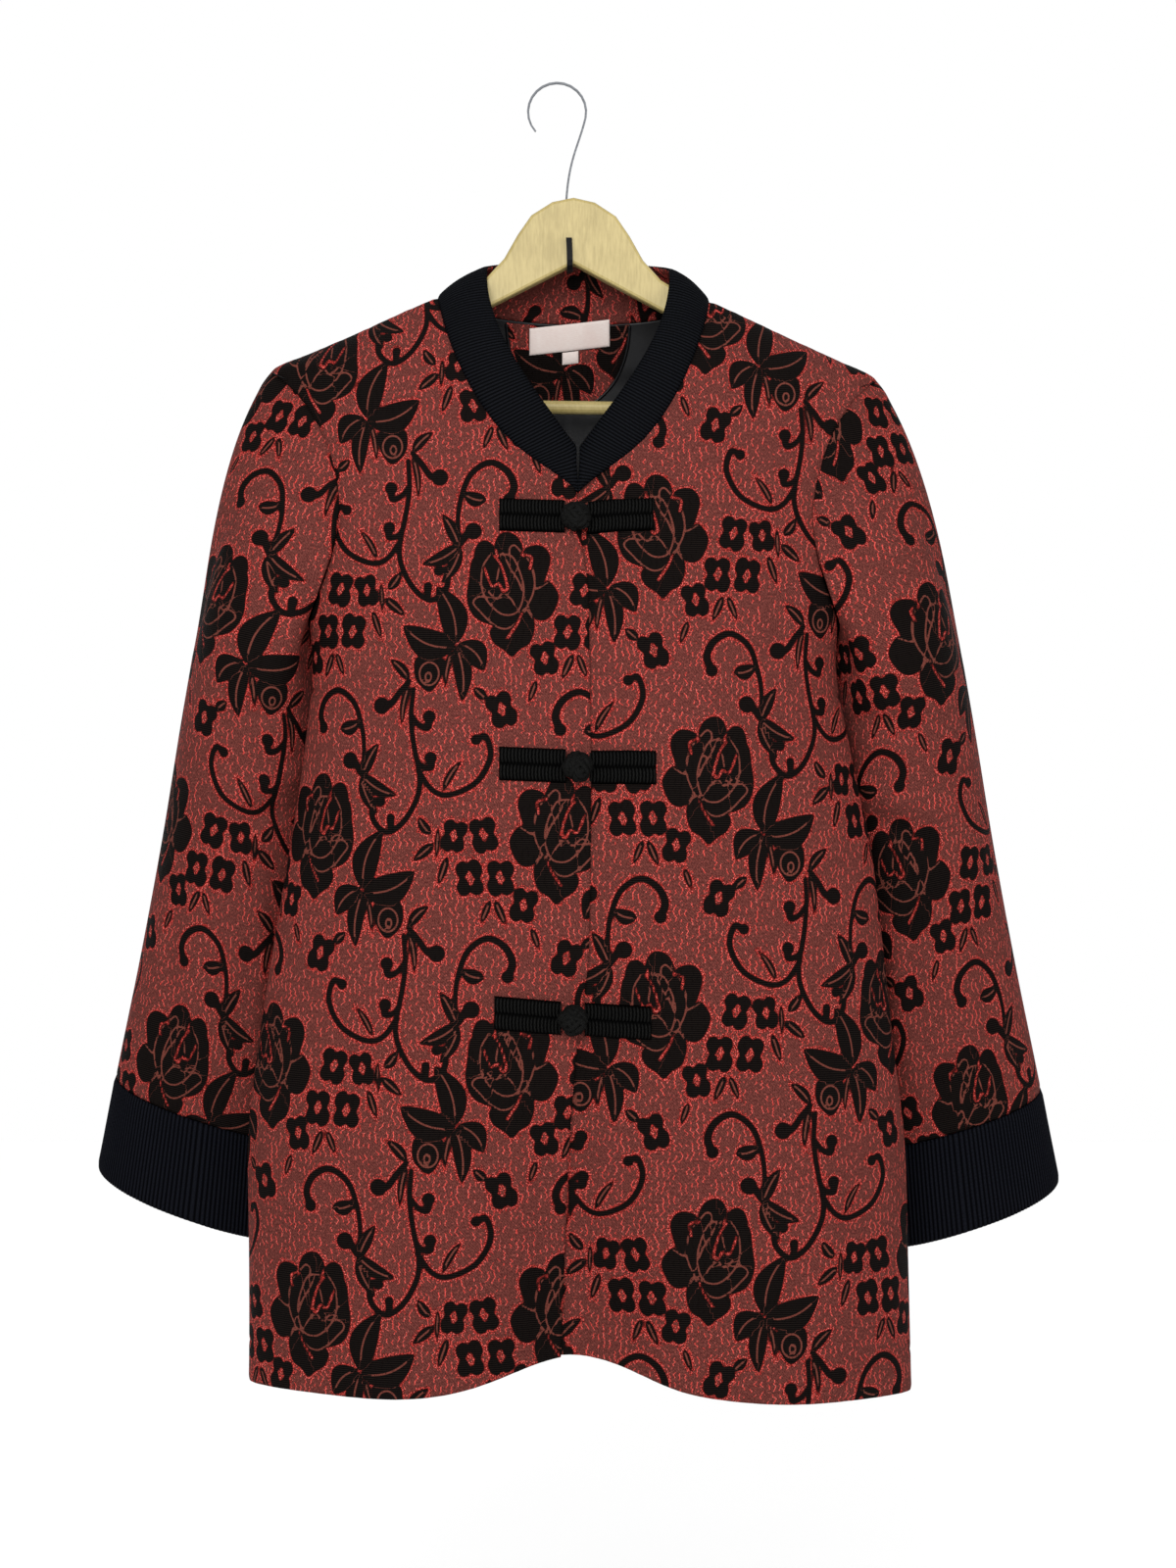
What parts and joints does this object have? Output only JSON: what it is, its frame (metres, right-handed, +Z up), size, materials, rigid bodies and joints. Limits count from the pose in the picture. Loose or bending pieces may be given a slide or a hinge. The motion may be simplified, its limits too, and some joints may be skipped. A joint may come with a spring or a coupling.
{
  "type": "hanbok jacket on a hanger",
  "caption": "Hip-length patterned jacket with ribbed neck band and cuffs and frog closures, hanging on a wooden hanger with a wire hook.",
  "frame": {"origin": "the point where a rail touches the crown of the hanger's hook, from below", "axes": "+Z up along the hanging garment, -Y out of the garment's front, +X towards the wearer's left"},
  "size_m": [0.6508, 0.205, 0.8585],
  "materials": {
    "brocade": "red-brown jacquard with black flowers outlined in bright red",
    "ribbed_trim": "black ribbed ottoman",
    "lining": "black satin",
    "label": "pale woven satin",
    "hanger_wood": "clear satin lacquer",
    "hook_wire": "bright",
    "clip_black": "black"
  },
  "bodies": {
    "root": {"right_front": "brocade", "left_front": "brocade", "back": "brocade", "right_sleeve": "brocade", "left_sleeve": "brocade", "collar_facing": "brocade", "neck_facing": "brocade", "right_cuff": "ribbed_trim", "left_cuff": "ribbed_trim", "neck_band": "ribbed_trim", "frog_1_right_bar": "ribbed_trim", "frog_1_left_bar": "ribbed_trim", "frog_1_knot": "ribbed_trim", "frog_2_right_bar": "ribbed_trim", "frog_2_left_bar": "ribbed_trim", "frog_2_knot": "ribbed_trim", "frog_3_right_bar": "ribbed_trim", "frog_3_left_bar": "ribbed_trim", "frog_3_knot": "ribbed_trim", "back_lining": "lining", "neck_label": "label", "size_tab": "label", "hanger_board": "hanger_wood", "trouser_bar": "hanger_wood", "hook": "hook_wire", "notch_clip": "clip_black"}
  },
  "joints": []
}
